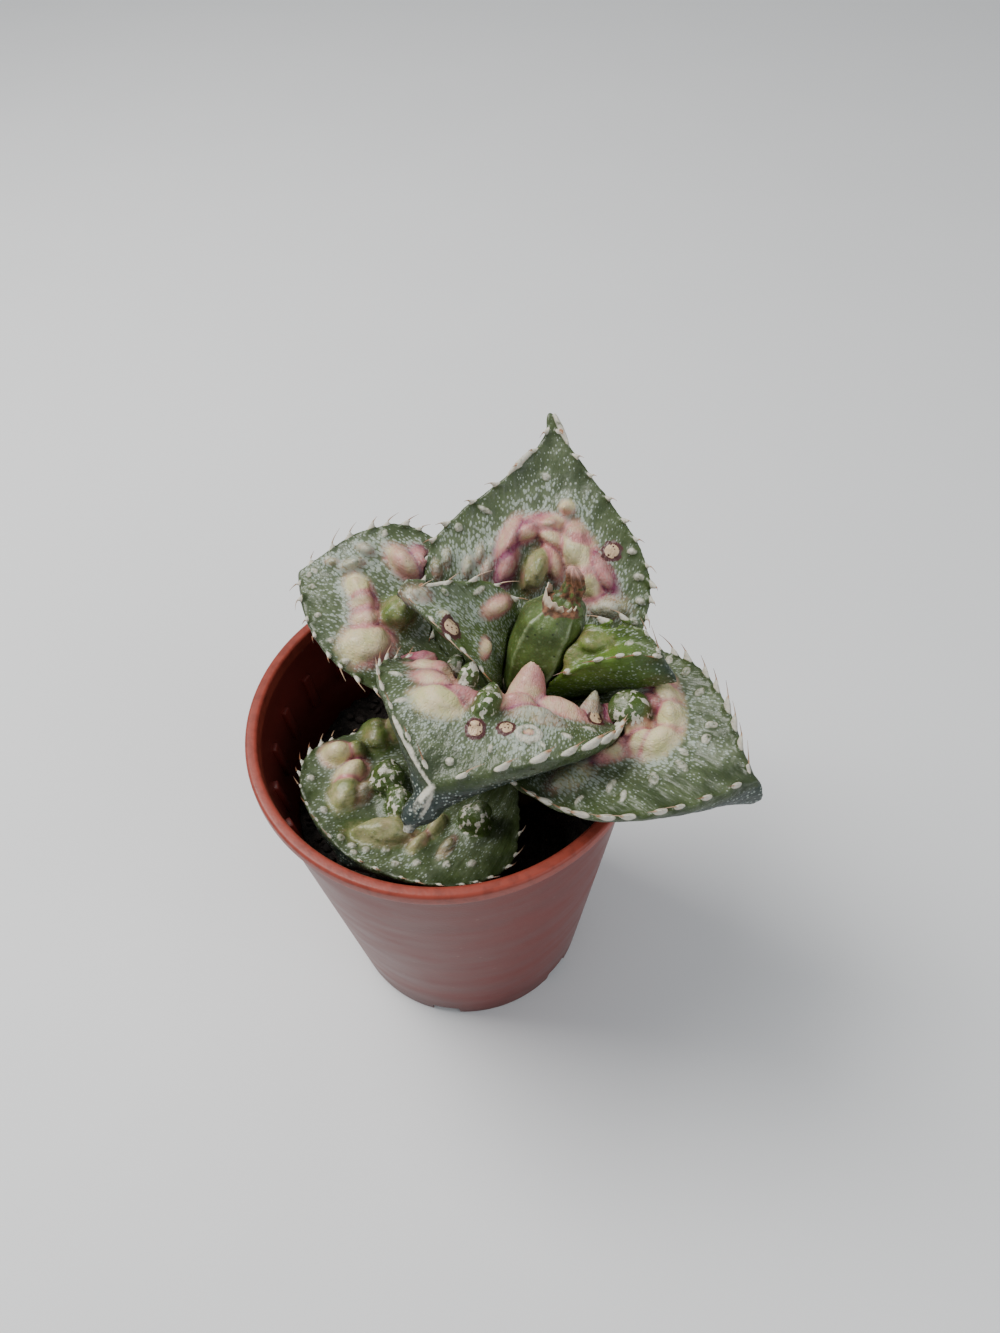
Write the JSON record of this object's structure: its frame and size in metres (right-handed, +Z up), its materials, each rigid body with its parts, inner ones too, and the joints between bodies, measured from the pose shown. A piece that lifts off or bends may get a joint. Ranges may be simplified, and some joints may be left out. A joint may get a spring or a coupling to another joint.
{
  "type": "potted tiger jaws",
  "caption": "Small warty succulent with thick toothed triangular leaves round a spent bud, standing in peat in a round tapered nursery pot.",
  "frame": {"origin": "middle of the pot's flat underside", "axes": "+Z up; +X to the viewer's right and -Y to the viewer, as the plant is pictured"},
  "size_m": [0.0662, 0.0587, 0.0843],
  "materials": {
    "pot_plastic": "thin terracotta-coloured nursery pot plastic, satin, brighter on the lip",
    "peat": null,
    "leaf": "dark grey-green succulent leaf with white dots and dashes and ivory, pink and magenta warts; leather stands in for leaf",
    "bud": "smooth mid-green spent bud with a dry brown collar and beak; leather stands in",
    "stem": "short olive stem, dull; leather stands in"
  },
  "bodies": {
    "root": {"pot": "pot_plastic", "soil": "peat", "stem": "stem", "bud": "bud", "leaf_back": "leaf", "leaf_front": "leaf", "leaf_left": "leaf", "leaf_right": "leaf", "leaf_inner_left": "leaf", "leaf_inner_right": "leaf", "leaf_low": "leaf", "leaf_low_back": "leaf"}
  },
  "joints": []
}
